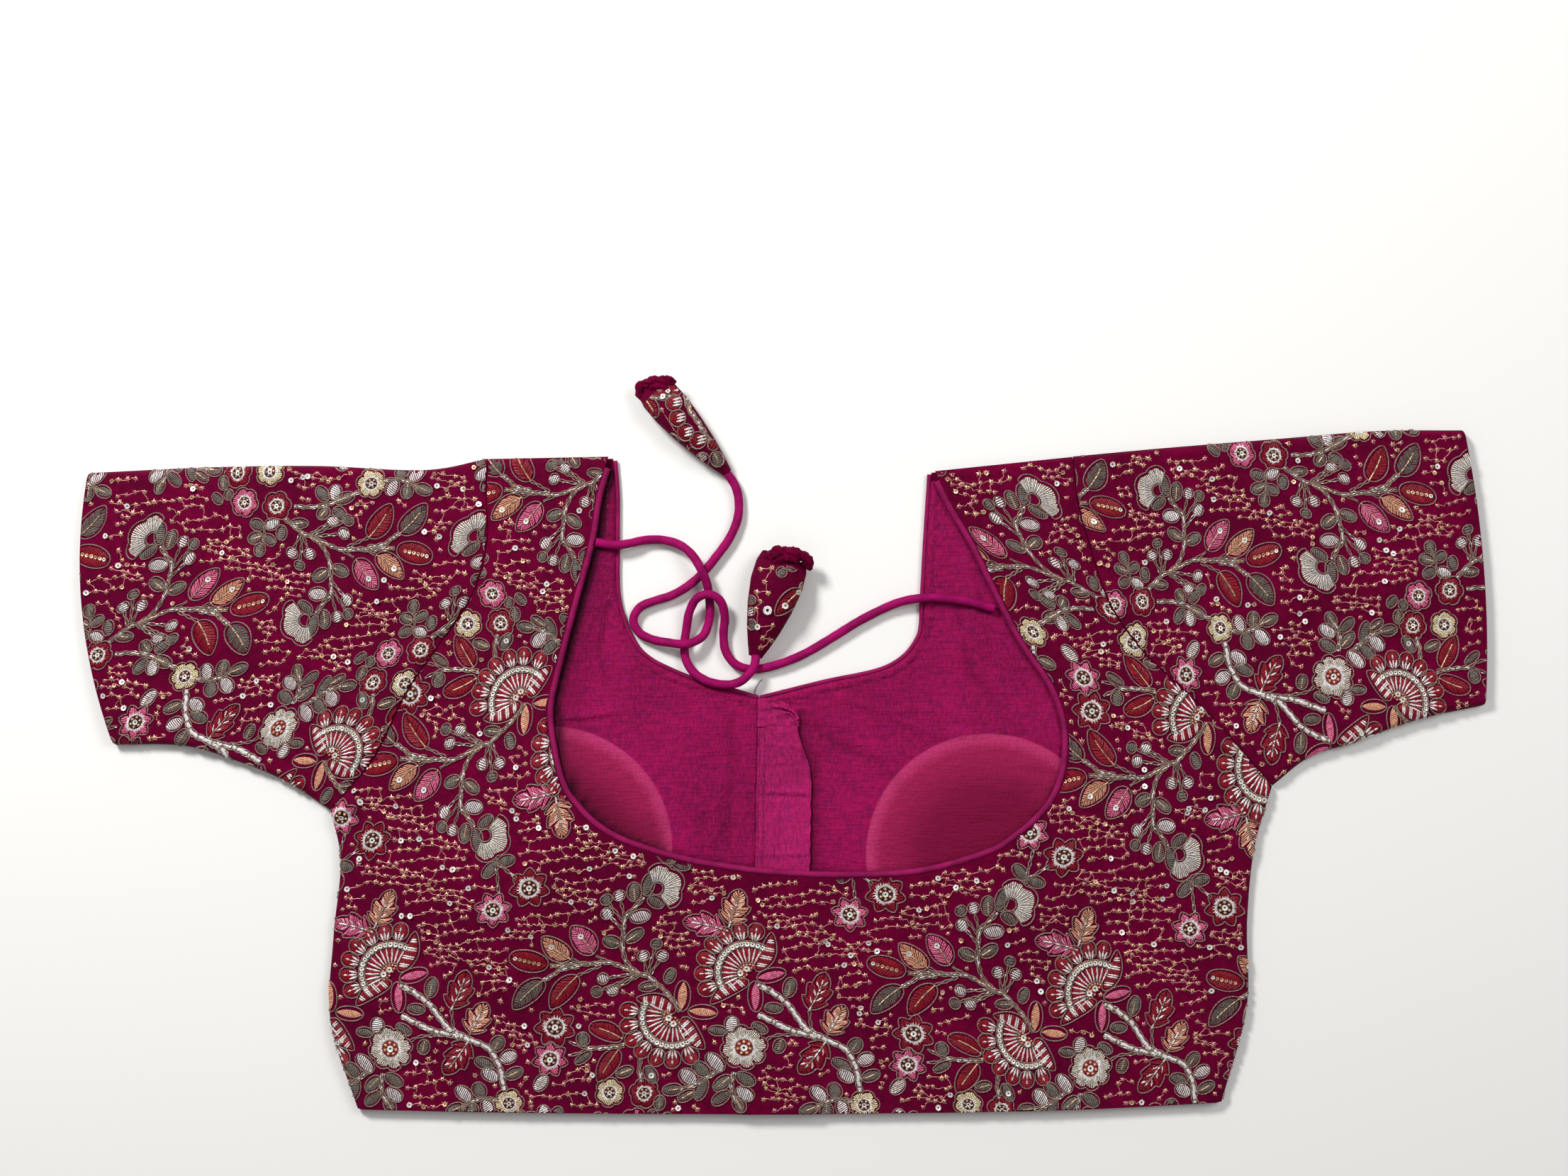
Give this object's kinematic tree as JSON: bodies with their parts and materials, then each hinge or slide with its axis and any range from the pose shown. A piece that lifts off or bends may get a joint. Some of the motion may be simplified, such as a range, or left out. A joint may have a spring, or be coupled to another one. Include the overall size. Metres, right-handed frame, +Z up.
{
  "type": "choli blouse",
  "caption": "Cropped short-sleeved blouse laid flat with its back up: deep round back neck, padded front inside it, two crossed tie cords with rolled cloth tassels.",
  "frame": {"origin": "on the table, under the middle of the blouse's outline without its ties", "axes": "+X to the wearer's right along the sleeves, +Y from the hem to the neck, +Z up off the table, through the fronts and then the back"},
  "size_m": [0.7171, 0.3765, 0.016],
  "materials": {
    "outer_cloth": "magenta cloth with thread, metal-thread and sequin embroidery",
    "lining_cloth": "fine crinkled plain weave, matte",
    "pad_foam": "soft matte cloth-covered foam",
    "placket_cloth": "plain weave, slight sheen",
    "piping_cloth": "satin-like bias cloth over a cord",
    "cord_cloth": "turned bias tube, soft sheen",
    "tassel_cloth": "rolled embroidered cloth with a frayed end"
  },
  "bodies": {
    "root": {"back": "outer_cloth", "front_left": "outer_cloth", "front_right": "outer_cloth", "lining_left": "lining_cloth", "lining_right": "lining_cloth", "pad_left": "pad_foam", "pad_right": "pad_foam", "hook_placket": "placket_cloth", "sleeve_left": "outer_cloth", "sleeve_right": "outer_cloth", "piping_back": "piping_cloth", "piping_front_left": "piping_cloth", "piping_front_right": "piping_cloth", "dori_left": "cord_cloth", "dori_right": "cord_cloth", "tassel_left": "tassel_cloth", "tassel_right": "tassel_cloth"}
  },
  "joints": []
}
